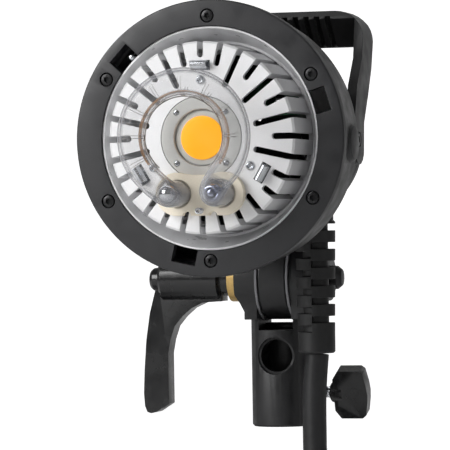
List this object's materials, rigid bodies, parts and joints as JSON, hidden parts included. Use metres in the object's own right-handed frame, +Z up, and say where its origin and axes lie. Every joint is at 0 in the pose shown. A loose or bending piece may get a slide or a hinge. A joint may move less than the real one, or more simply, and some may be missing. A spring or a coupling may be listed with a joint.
{
  "type": "monolight strobe",
  "caption": "Black studio flash head with a bayonet ring, ring-shaped flash tube round an LED lamp, arch handle, tilting stand bracket with clamp lever, and a wound power lead.",
  "frame": {"origin": "centre of the stand socket's mouth, at the bottom of the bracket's stem", "axes": "+Z up the socket, -Y the way the light points at rest, +X to the right of someone facing the light"},
  "size_m": [0.214, 0.3637, 0.297],
  "materials": {
    "black_case": "fine-grained black",
    "black_ring": "satin black anodised",
    "black_handle": "matt black",
    "black_cast": "semi-gloss black over a casting",
    "black_lever": "black, half gloss",
    "black_rubber": "matt black",
    "screw_black": "black oxide",
    "drum_aluminium": "bead-blasted, bright",
    "reflector": "satin reflector",
    "steel": "bright",
    "brass": "satin",
    "ceramic": "cream, unglazed",
    "glass": "clear",
    "phosphor": "amber silicone",
    "led_white": "white",
    "circuit_board": "green solder mask",
    "copper_coil": "lacquered winding",
    "friction_disc": "grey friction lining"
  },
  "bodies": {
    "stand_bracket": {"bracket_fork": "black_cast", "tilt_bolt": "steel", "friction_disc_left": "friction_disc", "friction_disc_right": "friction_disc", "brass_washer": "brass", "steel_washer": "black_cast", "power_lead": "black_rubber", "lead_coil": "black_rubber", "lead_tail": "black_rubber", "plug_body": "black_handle"},
    "clamp_lever": {"clamp_lever": "black_lever", "lever_cap": "black_lever"},
    "clamp_slide": {"clamp_pad": "brass"},
    "wing_knob": {"clamp_screw": "steel", "wing_knob": "black_lever"},
    "release_catch": {"lock_pin": "steel", "release_slider": "black_case"},
    "fan_rotor": {"fan_rotor": "black_handle"},
    "lock_ring": {"plug_lock_ring": "steel"},
    "head": {"front_housing": "black_case", "rear_housing": "black_case", "rear_cover": "black_case", "bayonet_ring": "black_ring", "handle": "black_handle", "fan_frame": "black_handle", "tilt_knuckle": "black_cast", "gland_nut": "black_rubber", "strain_relief": "black_rubber", "ring_screw_1": "screw_black", "ring_screw_2": "screw_black", "ring_screw_3": "screw_black", "ring_screw_4": "screw_black", "ring_screw_5": "screw_black", "ring_screw_6": "screw_black", "carrier_screw_1": "screw_black", "carrier_screw_2": "screw_black", "carrier_screw_3": "screw_black", "carrier_screw_4": "screw_black", "handle_screw_left": "screw_black", "handle_screw_right": "screw_black", "knuckle_screw_1": "screw_black", "knuckle_screw_2": "screw_black", "heat_sink_drum": "drum_aluminium", "spreader_core": "drum_aluminium", "reflector_cone": "reflector", "dome_clip_1": "steel", "dome_clip_2": "steel", "dome_clip_3": "steel", "electrode_left": "steel", "electrode_right": "steel", "trigger_wire": "steel", "tube_base": "ceramic", "flash_tube": "glass", "led_phosphor": "phosphor", "led_board": "led_white", "led_carrier": "led_white", "power_board": "circuit_board", "trigger_coil": "copper_coil"}
  },
  "joints": [
    {"name": "head_tilt", "type": "hinge", "parent": "stand_bracket", "child": "head", "pos_m": [0, 0, 0.0752], "axis": [1, 0, 0], "range_deg": [-75, 25], "deforming": ["power_lead"]},
    {"name": "lever_turn", "type": "hinge", "parent": "stand_bracket", "child": "clamp_lever", "pos_m": [0, 0, 0.0752], "axis": [1, 0, 0], "range_deg": [-75, 75]},
    {"name": "clamp_travel", "type": "slide", "parent": "stand_bracket", "child": "clamp_slide", "axis": [1, 0, 0], "range_m": [0, 0.002]},
    {"name": "knob_turn", "type": "hinge", "parent": "clamp_slide", "child": "wing_knob", "pos_m": [0, 0, 0.017], "axis": [1, 0, 0], "range_deg": [0, 720]},
    {"name": "catch_slide", "type": "slide", "parent": "head", "child": "release_catch", "axis": [0, 1, 0], "range_m": [0, 0.008], "stiffness_N_per_m": 150, "springref_m": -0.004},
    {"name": "fan_spin", "type": "hinge", "parent": "head", "child": "fan_rotor", "pos_m": [0, 0.0084, 0.144], "axis": [0, 1, 0], "continuous": true},
    {"name": "lock_ring_turn", "type": "hinge", "parent": "stand_bracket", "child": "lock_ring", "pos_m": [-0.13, 0, -0.069], "axis": [0, 1, 0], "range_deg": [0, 60]}
  ],
  "couplings": [
    {"joint": "knob_turn", "follows": "clamp_travel", "rad_per_m": 6283.2}
  ]
}
